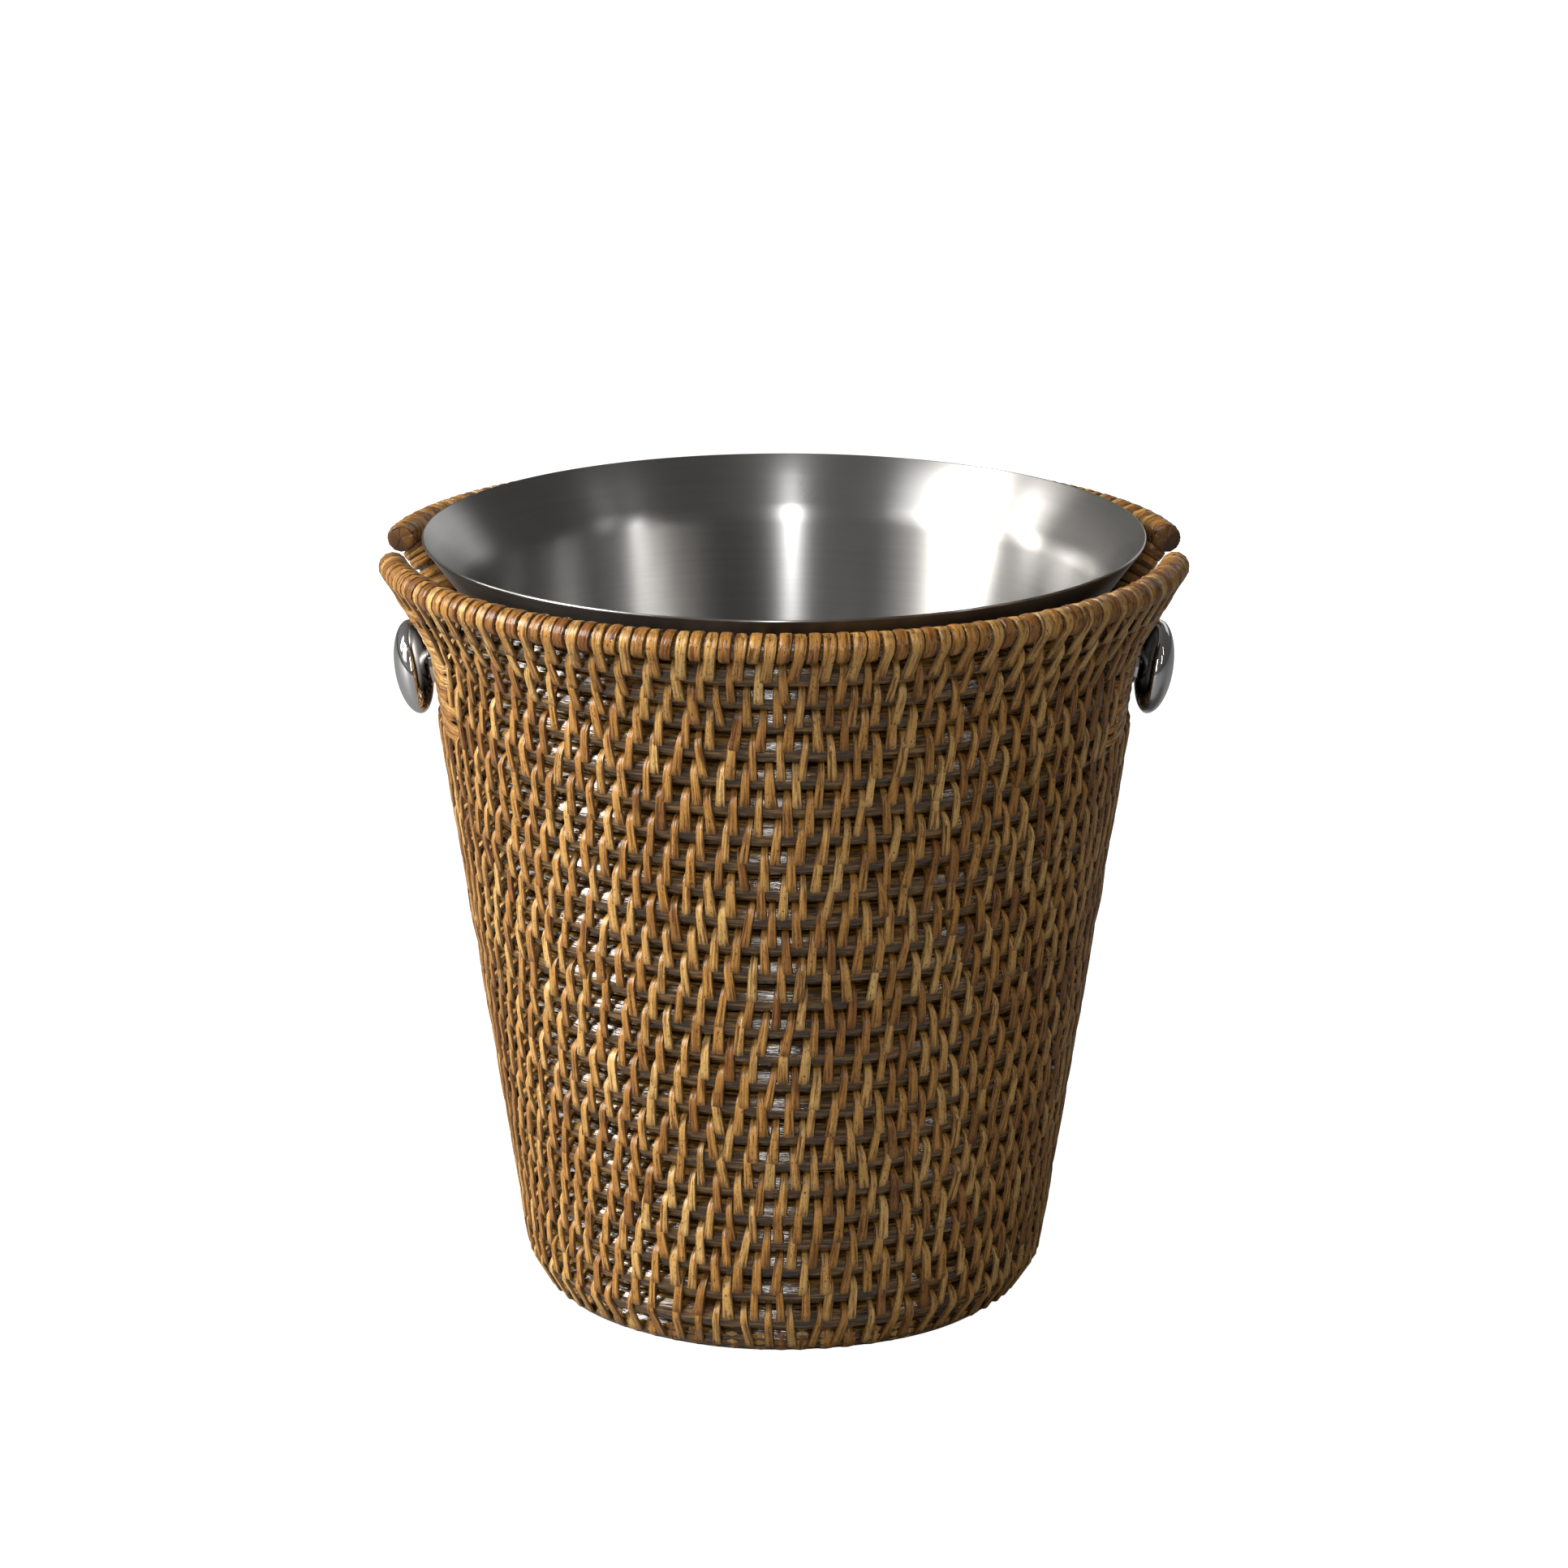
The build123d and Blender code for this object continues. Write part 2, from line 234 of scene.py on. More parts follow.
def cane_material():
    """Dark stained cane under shiny varnish. Its colour follows the fibre's long streaks, partly the stain's
    own streaks and partly painted light: nearly black in the grooves as painted shade, and warm brown on the
    ridges as a painted highlight.
    """
    material = bpy.data.materials.new("stained_cane")
    material.use_nodes = True
    tree = material.node_tree
    shader = tree.nodes["Principled BSDF"]
    tone = add_node(tree, "ShaderNodeAttribute", attribute_name="tone").outputs["Fac"]
    fibre = add_node(tree, "ShaderNodeGroup", node_tree=rattan_fibre)
    fibre.inputs["Ridge Count"].default_value = 26.0
    tree.links.new(tone, fibre.inputs["Tone"])
    # painted shade and painted highlight: near black where the bump is low, warm brown where it is high
    colour = ramp(
        tree, fibre.outputs["Streak"],
        [(0.36, (0.012, 0.005, 0.001)), (0.50, (0.060, 0.028, 0.006)), (0.64, (0.190, 0.100, 0.024))],
    )
    roughness = add_node(tree, "ShaderNodeMapRange",
                         {"Value": fibre.outputs["Ridge"], "To Min": 0.06, "To Max": 0.19})
    height = add_node(tree, "ShaderNodeMath", {0: fibre.outputs["Streak"], 1: fibre.outputs["Ridge"]},
                      operation="ADD")
    bump = add_node(tree, "ShaderNodeBump",
                    {"Height": height.outputs[0], "Strength": 0.55, "Distance": 0.7 * MM})
    tree.links.new(colour, shader.inputs["Base Color"])
    tree.links.new(roughness.outputs["Result"], shader.inputs["Roughness"])
    tree.links.new(bump.outputs["Normal"], shader.inputs["Normal"])
    shader.inputs["Specular IOR Level"].default_value = 0.8
    return material


stained_cane = cane_material()


def finish_cane(piece, node):
    """A cane belongs to the sleeve, and takes the place of one of the frame's nodes."""
    piece.data.materials.append(stained_cane)
    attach(piece, "basket")
    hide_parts(node)


slot_angle = np.arccos(-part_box("rim_winding_front")[1].y / row_radius[RIM_ROW])

for row in range(COURSES + 1):
    names = course_nodes(row)
    arcs = [(-np.pi, np.pi)]
    if len(names) == 2:
        reach = np.arccos(-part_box(names[0])[1].y / row_radius[row])
        arcs = [(-reach, reach), (np.pi - reach, np.pi + reach)]
    for node_name, (start, end) in zip(names, arcs):
        finish_cane(cane("cane_" + node_name, row, start, end), node_name)


# ---- Stitches --------------------------------------------------------------------------------------------
# Honey-coloured rattan peel, about 3 mm wide. Each stitch loops over one cane, crosses the crevice, and goes
# in through the middle of the cane below, beside the stitch of that row. The higher rows have more stitches.
STITCH_THICKNESS = 0.95 * MM
STITCH_WIDTH = 2.95 * MM
STITCH_BITE = 0.1 * MM          # how far a stitch sinks into the cane that it goes round
STITCH_TOP_WIDTH = 0.72         # of the rest of the stitch, where it goes round the upper cane
ROW_STEP = -0.40                # of a stitch's spacing, from one row to the next one down
STITCH_BANDS = [(62, 1), (66, 2), (78, 2), (79, 4), (80, 5), (87, 4), (89, 3), (91, 2), (92, 3)]
LONG_SIDE = np.array([0.18, 0.42, 0.66, 0.86])      # places down the straight part of a stitch
CROWN_ACROSS = np.array([-0.5, -0.40, 0.0, 0.40, 0.5])
CROWN_HEIGHT = np.array([0.0, 0.80, 1.0, 0.80, 0.0])
SHARP_ANGLE = np.radians(48)    # a strip's sides meet its face at an edge, and bends along it stay smooth
chance = np.random.default_rng(20)


def uneven(size, spread, limit=2):
    """Factors about 1, as strands that are cut by hand vary."""
    return 1 + spread * chance.normal(size=size).clip(-limit, limit)


def strip_loop(path, width, thickness):
    """A flat strip carried along closed flat paths. path[strip, ring] holds distances out and up, and the
    strip stands on it with a crowned section of five points. Returns distances out, up and across, and the
    length so far."""
    forward = np.roll(path, -1, axis=1) - np.roll(path, 1, axis=1)
    forward /= np.linalg.norm(forward, axis=-1, keepdims=True)
    normal = np.stack([forward[..., 1], -forward[..., 0]], axis=-1)
    centre = path.mean(axis=1, keepdims=True)
    facing = np.sign(np.sum(normal * (path - centre), axis=(1, 2), keepdims=True))
    rise = thickness * CROWN_HEIGHT
    flat = path[:, :, None, :] + (normal * facing)[:, :, None, :] * rise[:, None]
    across = np.broadcast_to(width[..., None] * CROWN_ACROSS, flat.shape[:-1])
    step = np.linalg.norm(np.roll(path, -1, axis=1) - path, axis=-1)
    length = np.concatenate([np.zeros((len(path), 1)), np.cumsum(step, axis=1)], axis=1)
    return flat[..., 0], flat[..., 1], across, length


def stitch_path(over, under, drop):
    """Round the crest of the upper cane, straight down to the middle of the lower one, and through it; the
    inner side is the same. Distances are out from and up along the wall, from the upper cane's centre."""
    crest = np.radians([90, 66, 42, 18])
    crest_out, crest_up = over * np.cos(crest), over * np.sin(crest)
    side_out = np.linspace(over, under, len(LONG_SIDE))
    out = np.concatenate([crest_out, side_out, [0.70 * under, 0.0, -0.70 * under], -side_out[1::2][::-1],
                          -crest_out[1::2][::-1]])
    down = np.concatenate([0 * crest, LONG_SIDE, [1.01, 1.06, 1.01], LONG_SIDE[1::2][::-1], [0, 0]])
    up = np.concatenate([crest_up, np.zeros(len(out) - len(crest) - 2), crest_up[1::2][::-1]])
    return np.stack(np.broadcast_arrays(out, up[None] - drop[:, None] * down), axis=-1)


def stitches(name, row, angle, width, tone, lean, over, top_width):
    """Stitches of one row at the given angles. Each stands in the plane of the wall's slope: out is square to
    the wall, up follows it, and across goes round it, leaning a little with the height. They go round the
    upper cane at the radius over, and are top_width times as wide there as below."""
    upper_radius, upper_height = course_line(row, angle)
    lower_radius, lower_height = course_line(row - 1, angle)
    rise = np.stack([upper_radius - lower_radius, upper_height - lower_height], axis=-1)
    drop = np.linalg.norm(rise, axis=-1)
    slope = rise / drop[:, None]
    path = stitch_path(over, row_thickness[row - 1] - STITCH_BITE, drop)
    crest_width = top_width + (1 - top_width) * np.array([0, 0.3, 0.55, 0.75])
    shape = np.concatenate([crest_width, [0.96, 1.0, 1.06, 1.18], [1.0, 0.8, 1.0], [1.1, 1.0], [1.0, 0.9]])
    out, up, across, length = strip_loop(path, width[:, None] * shape, STITCH_THICKNESS)
    slope = slope[:, None, None]
    radius = upper_radius[:, None, None] + out * slope[..., 1] + up * slope[..., 0]
    height = upper_height[:, None, None] - out * slope[..., 0] + up * slope[..., 1]
    sideways = (across + lean[:, None, None] * up) / upper_radius[:, None, None]
    points = around(radius, angle[:, None, None] + sideways, height)
    # painted shade: tuck darkens the crest's top, in the crevice, and the lower end, where the stitch goes
    # into the cane below
    tuck = np.zeros(path.shape[1])
    tuck[[0, 7, 8, 9, 10]] = 0.45, 0.30, 1.0, 1.0, 1.0
    piece = lay_mesh(name, points, length, True, tone=tone, tuck=tuck[None, :])
    piece.data.set_sharp_from_angle(angle=SHARP_ANGLE)
    return piece


def mix_colour(tree, factor, first, second, blend="MIX"):
    """Two colours mixed by a factor, in the given blend."""
    made = add_node(tree, "ShaderNodeMix", data_type="RGBA", blend_type=blend)
    for label, value in ((0, factor), (6, first), (7, second)):
        if isinstance(value, bpy.types.NodeSocket):
            tree.links.new(value, made.inputs[label])
        else:
            made.inputs[label].default_value = value
    return made.outputs[2]


FACE_MIDDLE = 0.4               # where the middle of a strip's face lies, as a share of the way round it


def peel_material(name, pale, honey, brown):
    """Rattan peel: a glossy skin whose colour runs from brown to pale from strand to strand, with long fine
    streaks and dark flecks. Its sides are darkened as painted shade, and the strand is darkened as painted
    shade where it goes into the work."""
    material = bpy.data.materials.new(name)
    material.use_nodes = True
    tree = material.node_tree
    shader = tree.nodes["Principled BSDF"]
    tone = add_node(tree, "ShaderNodeAttribute", attribute_name="tone").outputs["Fac"]
    tuck = add_node(tree, "ShaderNodeAttribute", attribute_name="tuck").outputs["Fac"]
    fibre = add_node(tree, "ShaderNodeGroup", node_tree=rattan_fibre)
    fibre.inputs["Ridge Count"].default_value = 6.5
    tree.links.new(tone, fibre.inputs["Tone"])
    place = add_node(tree, "ShaderNodeTexCoord").outputs["Object"]
    patches = add_node(tree, "ShaderNodeTexNoise", {"Vector": place, "Scale": 160.0, "Detail": 3.0})
    mixed = add_node(tree, "ShaderNodeMath", {0: patches.outputs["Fac"], 1: 0.5, 2: tone},
                     operation="MULTIPLY_ADD")
    halved = add_node(tree, "ShaderNodeMath", {0: mixed.outputs[0], 1: 1.5}, operation="DIVIDE")
    body = ramp(tree, halved.outputs[0], [(0.15, brown), (0.48, honey), (0.85, pale)])
    streaks = ramp(tree, fibre.outputs["Streak"],
                   [(0.36, (0.30, 0.21, 0.14)), (0.47, (0.82, 0.77, 0.70)), (0.62, (1.0, 1.0, 1.0))])
    colour = mix_colour(tree, 1.0, body, streaks, "MULTIPLY")
    colour = mix_colour(tree, fibre.outputs["Fleck"], colour, (0.045, 0.022, 0.010, 1))
    strand = add_node(tree, "ShaderNodeUVMap", uv_map="strand").outputs["UV"]
    across = add_node(tree, "ShaderNodeSeparateXYZ", {"Vector": strand}).outputs["Y"]
    from_middle = add_node(tree, "ShaderNodeMath", {0: across, 1: FACE_MIDDLE}, operation="SUBTRACT")
    away = add_node(tree, "ShaderNodeMath", {0: from_middle.outputs[0]}, operation="ABSOLUTE")
    # painted shade: the strip's sides, away from the middle of its face, are darkened where they meet their
    # neighbours
    side = add_node(tree, "ShaderNodeMapRange",
                    {"Value": away.outputs[0], "From Min": 0.14, "From Max": 0.34, "To Max": 0.75})
    colour = mix_colour(tree, side.outputs["Result"], colour, (0.060, 0.026, 0.008, 1))
    # painted shade: the tuck attribute darkens the strand nearly to black where it goes into a cane or the
    # wall
    tuck_shade = add_node(tree, "ShaderNodeMath", {0: tuck, 1: 0.85}, operation="MULTIPLY").outputs[0]
    colour = mix_colour(tree, tuck_shade, colour, (0.030, 0.015, 0.007, 1))
    roughness = add_node(tree, "ShaderNodeMapRange",
                         {"Value": fibre.outputs["Ridge"], "To Min": 0.17, "To Max": 0.42})
    height = add_node(tree, "ShaderNodeMath", {0: fibre.outputs["Streak"], 1: fibre.outputs["Ridge"]},
                      operation="ADD")
    bump = add_node(tree, "ShaderNodeBump",
                    {"Height": height.outputs[0], "Strength": 0.8, "Distance": 0.6 * MM})
    tree.links.new(colour, shader.inputs["Base Color"])
    tree.links.new(roughness.outputs["Result"], shader.inputs["Roughness"])
    tree.links.new(bump.outputs["Normal"], shader.inputs["Normal"])
    shader.inputs["Specular IOR Level"].default_value = 0.4
    return material


honey_peel = peel_material("honey_peel", (0.60, 0.39, 0.140), (0.40, 0.200, 0.045), (0.18, 0.066, 0.011))


def finish_peel(piece, material):
    """A peel piece belongs to the sleeve."""
    piece.data.materials.append(material)
    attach(piece, "basket")


SLOT_CLEARANCE = 30.0 * MM      # half the width about each slot that the upper rows' stitches keep off
phase = 0.0
stitch_angles = {}
row = RIM_ROW - 1
for count, rows_in_band in reversed(STITCH_BANDS):
    spacing = 2 * np.pi / count
    for _ in range(rows_in_band):
        angle = phase + spacing * (np.arange(count) + 0.08 * chance.normal(size=count).clip(-2, 2))
        angle = np.mod(angle + np.pi, 2 * np.pi) - np.pi
        stitch_angles[row] = angle
        phase += ROW_STEP * spacing
        row -= 1

for row in range(1, RIM_ROW):
    angle = stitch_angles[row]
    if row > FULL_COURSES:
        reach_y = np.abs(np.cos(angle)) * row_radius[row]
        angle = angle[reach_y > SLOT_CLEARANCE]
    count = len(angle)
    width = STITCH_WIDTH * uneven(count, 0.09)
    tone = chance.beta(2.2, 2.2, size=count)
    lean = 0.03 + 0.07 * chance.normal(size=count).clip(-2, 2)
    over = row_thickness[row] - STITCH_BITE
    piece = stitches(f"stitches_row_{row:02d}", row, angle, width, tone, lean, over, STITCH_TOP_WIDTH)
    finish_peel(piece, honey_peel)


# ---- Foot binding ----------------------------------------------------------------------------------------
# The foot is bound with wide flat peel, one wrap between each two stitches of the first row, which keeps
# the bottom cane off the table. The wraps are pressed flat where the sleeve stands on them.
FOOT_WRAP_COUNT = len(stitch_angles[1])
FOOT_WRAP_WIDTH = 4.7 * MM
FOOT_PEEL = 0.9 * MM
WRAP_GAP = 0.05 * MM            # between a cane and what is wound on it
LOOP_STEPS = 12
LOOP_START = 0.26               # keeps a loop's corners off its widest points
LOOP_TURN = np.linspace(0, 2 * np.pi, LOOP_STEPS, endpoint=False) + LOOP_START


def ring_wraps(row, angle, width, lean, thickness):
    """Flat wraps round a cane: each path is a circle about the cane's centre line, and the strip slides
    sideways by lean times its height. Nothing goes below the table."""
    radius, height = course_line(row, angle)
    size = row_thickness[row] - thickness + WRAP_GAP
    circle = size * np.stack([np.cos(LOOP_TURN), np.sin(LOOP_TURN)], axis=-1)
    path = np.broadcast_to(circle, (len(angle), LOOP_STEPS, 2))
    out, up, across, length = strip_loop(path, np.broadcast_to(width[:, None], path.shape[:2]), thickness)
    sideways = (across + lean[:, None, None] * up) / radius[:, None, None]
    tall = np.maximum(height[:, None, None] + up, 0.0)
    return around(radius[:, None, None] + out, angle[:, None, None] + sideways, tall), length


angle = stitch_angles[1] + np.pi / FOOT_WRAP_COUNT
width = FOOT_WRAP_WIDTH * uneven(FOOT_WRAP_COUNT, 0.07)
lean = 0.03 + 0.05 * chance.normal(size=FOOT_WRAP_COUNT)
tone = chance.beta(2.2, 2.6, size=FOOT_WRAP_COUNT)
points, length = ring_wraps(0, angle, width, lean, FOOT_PEEL)
foot_wraps = lay_mesh("foot_wraps", points, length, True, tone=tone)
foot_wraps.data.set_sharp_from_angle(angle=SHARP_ANGLE)
finish_peel(foot_wraps, honey_peel)


# ---- Base mat --------------------------------------------------------------------------------------------
# The sleeve's floor is one long cane wound into a flat spiral from the middle, and sewn with peel from turn
# to turn. It lies inside the foot, just clear of the table.
mat_low, mat_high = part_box("base_mat")
MAT_TURNS = 7
mat_reach = mat_high.x
mat_middle = (mat_low.z + mat_high.z) / 2
mat_half = (mat_high.z - mat_low.z) / 2
mat_pitch = mat_reach / (MAT_TURNS + 0.5)
MAT_STEPS_PER_TURN = 72
MAT_STITCH_GAP = 8.0 * MM
MAT_PEEL = 0.7 * MM


def spiral_radius(turn):
    """Radius of the mat's spiral after a number of turns: half a pitch, and a pitch for each turn."""
    return mat_pitch * (turn + 0.5)


turn = np.linspace(0, MAT_TURNS - 0.5, round(MAT_STEPS_PER_TURN * (MAT_TURNS - 0.5)) + 1)
spiral = spiral_radius(turn)[:, None] + 0.98 * mat_pitch / 2 * np.cos(CANE_SECTION)
rise = mat_middle + (mat_half - MAT_PEEL) * np.sin(CANE_SECTION) + 0 * spiral
points = around(spiral, 2 * np.pi * turn[:, None], rise)
length = np.concatenate([[0], np.cumsum(2 * np.pi * spiral_radius(turn[1:]) * np.diff(turn))])
finish_cane(lay_mesh("mat_spiral", points[None], length[None], False, tone=[0.4]), "base_mat")

stitch_count = int(length[-1] / MAT_STITCH_GAP)
turn_at = np.interp((np.arange(stitch_count) + 0.5) * MAT_STITCH_GAP, length, turn)
oval_height = mat_half - MAT_PEEL - WRAP_GAP
oval = np.stack([0.56 * mat_pitch * np.cos(LOOP_TURN), oval_height * np.sin(LOOP_TURN)], axis=-1)
oval = np.broadcast_to(oval, (stitch_count, LOOP_STEPS, 2))
wide = STITCH_WIDTH * uneven((stitch_count, 1), 0.08) * np.ones((1, LOOP_STEPS))
out, up, across, length = strip_loop(oval, wide, MAT_PEEL)
at_radius = spiral_radius(turn_at)[:, None, None]
turned = 2 * np.pi * turn_at[:, None, None] + (across + 0.25 * out) / np.maximum(at_radius + out, 3 * MM)
points = around(at_radius + out, turned, mat_middle + up)
tone = chance.beta(2.0, 3.0, size=stitch_count)
mat_stitches = lay_mesh("mat_stitches", points, length, True, tone=tone)
mat_stitches.data.set_sharp_from_angle(angle=SHARP_ANGLE)
finish_peel(mat_stitches, honey_peel)


# ---- Rim -------------------------------------------------------------------------------------------------
# A cane rod along the top of the wall, bound with flat peel in two strands, one honey and one redder. Every
# other wrap runs on down over the top course. The rim stops at the slots, where its cut ends show.
RIM_WRAP_PITCH = 4.2 * MM
RIM_WRAP_WIDTH = 4.08 * MM
RIM_PEEL = 0.85 * MM
RIM_WIDENING = 1.10             # how much wider a wrap is on the rim than as a stitch below it
END_CAP_STEPS = 4
END_CAP_LENGTH = 0.7 * MM
END_CAP_INSET = 0.2 * MM        # from the last wrap's outside to the edge of the cut end

for side, facing in (("front", 0.0), ("back", np.pi)):
    low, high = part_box(f"rim_rod_{side}")
    rod = (high.z - low.z) / 2
    steps = round(CANE_STEPS / 2)
    angle = np.linspace(-slot_angle, slot_angle, steps) + facing
    radius, height = course_line(RIM_ROW, angle)
    shrink = np.sin(np.arccos(np.linspace(0.96, 0, END_CAP_STEPS)))
    thick = np.full(steps, rod)
    thick[:END_CAP_STEPS] *= shrink
    thick[-END_CAP_STEPS:] *= shrink[::-1]
    points = around(radius[:, None] + thick[:, None] * np.cos(CANE_SECTION), angle[:, None],
                    height[:, None] + thick[:, None] * np.sin(CANE_SECTION))
    core = lay_mesh(f"rim_core_{side}", points[None], (angle * radius)[None], False, tone=[0.3])
    finish_cane(core, f"rim_rod_{side}")

    reach = slot_angle - 0.5 * RIM_WRAP_WIDTH / row_radius[RIM_ROW]
    wrap_count = round(2 * reach * row_radius[RIM_ROW] / RIM_WRAP_PITCH)
    angle = np.linspace(-reach, reach, wrap_count) + facing
    width = RIM_WRAP_WIDTH * uneven(wrap_count, 0.06)
    odd = np.arange(wrap_count) % 2 == 1
    tone = np.where(odd, 0.62, 0.24) + 0.16 * chance.normal(size=wrap_count).clip(-1.5, 1.5)
    tone = tone.clip(0, 1)
    lean = 0.12 + 0.03 * chance.normal(size=wrap_count)
    long_ones = odd & (np.abs(np.cos(angle)) * row_radius[RIM_ROW] > SLOT_CLEARANCE)
    short = ~long_ones
    points, length = ring_wraps(RIM_ROW, angle[short], width[short], lean[short], RIM_PEEL)
    wraps = lay_mesh(f"rim_wraps_{side}", points, length, True, tone=tone[short])
    wraps.data.set_sharp_from_angle(angle=SHARP_ANGLE)
    finish_peel(wraps, honey_peel)
    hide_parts(f"rim_winding_{side}")
    over = row_thickness[RIM_ROW] - RIM_PEEL + WRAP_GAP
    long_wraps = stitches(f"rim_stitches_{side}", RIM_ROW, angle[long_ones], width[long_ones] / RIM_WIDENING,
                          tone[long_ones], lean[long_ones], over, RIM_WIDENING)
    finish_peel(long_wraps, honey_peel)

    for end in (-1, 1):
        bulge = np.linspace(0, 0.93 * np.pi / 2, END_CAP_STEPS + 2)
        size = (row_thickness[RIM_ROW] - END_CAP_INSET) * np.cos(bulge)
        forward = END_CAP_LENGTH * np.sin(bulge)
        size = np.concatenate([size[:1], size])
        forward = np.concatenate([[-RIM_WRAP_WIDTH], forward])
        turned = facing + end * (slot_angle + forward / row_radius[RIM_ROW])
        radius, height = course_line(RIM_ROW, turned)
        points = around(radius[:, None] + size[:, None] * np.cos(CANE_SECTION), turned[:, None],
                        height[:, None] + size[:, None] * np.sin(CANE_SECTION))
        hand = "left" if end * np.cos(facing) < 0 else "right"
        # painted shade: the cut ends are given a dark tone and the tuck darkening
        cap = lay_mesh(f"rim_end_{side}_{hand}", points[None], forward[None], False, tone=[0.1], tuck=0.55)
        finish_peel(cap, honey_peel)


# ---- Slot posts ------------------------------------------------------------------------------------------
# At each side of the two slots a cane stands against the cut ends of the top courses and bends out under the
# rim. Flat peel binds it to them, wrap above wrap, with each wrap falling a little away from the slot.
EDGE_WRAP_PITCH = 3.2 * MM
EDGE_WRAP_WIDTH = 3.15 * MM
EDGE_WRAP_LENGTH = 16.5 * MM    # from the post's centre to where a wrap goes back into the wall
EDGE_WRAP_FALL = 0.12           # for each unit away from the post
EDGE_PEEL = 0.8 * MM
EDGE_LIFT = 0.9 * MM            # how far a wrap stands out over the stitches that it crosses
EDGE_HEADROOM = 0.5 * MM        # the least from the middle of the top wrap up to the rim
POST_STEPS = 28
post_circle = np.stack([np.cos(CANE_SECTION), np.sin(CANE_SECTION), 0 * CANE_SECTION], axis=-1)


def wall_radius_at(height):
    """Radius of the wall's middle at a height, in straight lines from row to row."""
    return np.interp(height, row_height, row_radius)


for side, toward in (("front", -1), ("back", 1)):
    for hand, way in (("left", -1), ("right", 1)):
        low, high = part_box(f"slot_post_{side}_{hand}")
        post_y = (low.y + high.y) / 2
        post_radius = (high.y - low.y) / 2
        height = np.linspace(low.z, high.z, POST_STEPS)
        centre = np.stack([way * np.sqrt(wall_radius_at(height) ** 2 - post_y ** 2),
                           np.full(POST_STEPS, post_y), height], axis=-1)
        thick = post_radius * np.ones(POST_STEPS)
        thick[[0, -1]] *= 0.5
        points = centre[:, None, :] + thick[:, None, None] * post_circle
        post = lay_mesh(f"post_{side}_{hand}", points[None], height[None], False, tone=[0.3])
        finish_cane(post, f"slot_post_{side}_{hand}")

        low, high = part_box(f"slot_winding_{side}_{hand}")
        wrap_radius = (high.y - low.y) / 2 - RIM_PEEL
        first = low.z + EDGE_WRAP_WIDTH / 2
        last = row_height[RIM_ROW] - row_thickness[RIM_ROW] - EDGE_HEADROOM
        count = int((last - first) / EDGE_WRAP_PITCH) + 1
        level = first + (np.arange(count) + 0.08 * chance.normal(size=count)) * EDGE_WRAP_PITCH
        reach = EDGE_WRAP_LENGTH * uneven(count, 0.20, 1.5)
        turn = np.radians([100, 140, 180, 220, 260])
        bend = wrap_radius * np.stack([np.cos(turn), np.sin(turn)], axis=-1)
        over = wrap_radius + EDGE_LIFT
        outside = np.array([[0.35, 0.6 * over + 0.4 * wrap_radius], [0.70, over], [0.92, 0.85 * over],
                            [1.04, 0.2 * over]])
        sides = np.concatenate([outside * [1, -1], outside[::-1]])
        path = np.concatenate([
            np.broadcast_to(bend, (count, len(bend), 2)),
            np.stack([reach[:, None] * sides[:, 0],
                      np.broadcast_to(sides[:, 1], (count, len(sides)))], axis=-1),
        ], axis=1)
        width = EDGE_WRAP_WIDTH * uneven((count, 1), 0.07)
        away, out, across, length = strip_loop(path, width * np.ones((1, path.shape[1])), EDGE_PEEL)
        post_height = level[:, None, None] + across - EDGE_WRAP_FALL * away
        wall = wall_radius_at(post_height)
        flare = np.interp(post_height, row_height, np.gradient(row_radius, row_height))
        start_angle = np.arccos(np.clip(abs(post_y) / wall, 0, 1))
        turned = start_angle - away / wall
        radius = wall + out / np.sqrt(1 + flare ** 2)
        tall = post_height - out * flare / np.sqrt(1 + flare ** 2)
        points = np.stack([way * radius * np.sin(turned), toward * radius * np.cos(turned), tall], axis=-1)
        tone = chance.beta(2.0, 2.4, size=count)
        # painted shade: each wrap is darkened where it goes back into the wall
        tuck = np.zeros(path.shape[1])
        tuck[[8, 9]] = 0.8
        wraps = lay_mesh(f"slot_wraps_{side}_{hand}", points, length, True, tone=tone, tuck=tuck[None, :])
        wraps.data.set_sharp_from_angle(angle=SHARP_ANGLE)
        finish_peel(wraps, honey_peel)
        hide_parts(f"slot_winding_{side}_{hand}")


# ---- Bucket ----------------------------------------------------------------------------------------------
# One sheet of steel spun into a tapered bucket with a flaring lip, with the fine rings that the spinning tool
# leaves. It is brushed satin inside, and rougher outside where the sleeve hides it, with a darker colour
# there as painted shade. The lip's edge is rounded.
shell_low, shell_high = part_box("bucket_shell")
LIP_RADIUS = shell_high.x
LIP_HEIGHT = shell_high.z
SHELL_BOTTOM = shell_low.z
SHEET = 0.8 * MM
WALL_SLOPE = 0.1526             # growth of the radius for each unit of height
SHELL_RADIUS_AT_FLOOR = 66.0 * MM
BOTTOM_BEND = 12 * MM
SHOULDER_BEND = 15 * MM
POLE = 0.4 * MM                 # radius of the small flat faces on the axis
LONGEST_STEP = 12 * MM
LIP_FLARE = np.tan(np.radians(37.0))
shoulder_height = (LIP_RADIUS - LIP_FLARE * LIP_HEIGHT - SHELL_RADIUS_AT_FLOOR) / (WALL_SLOPE - LIP_FLARE)
BUCKET_SIDES = 256


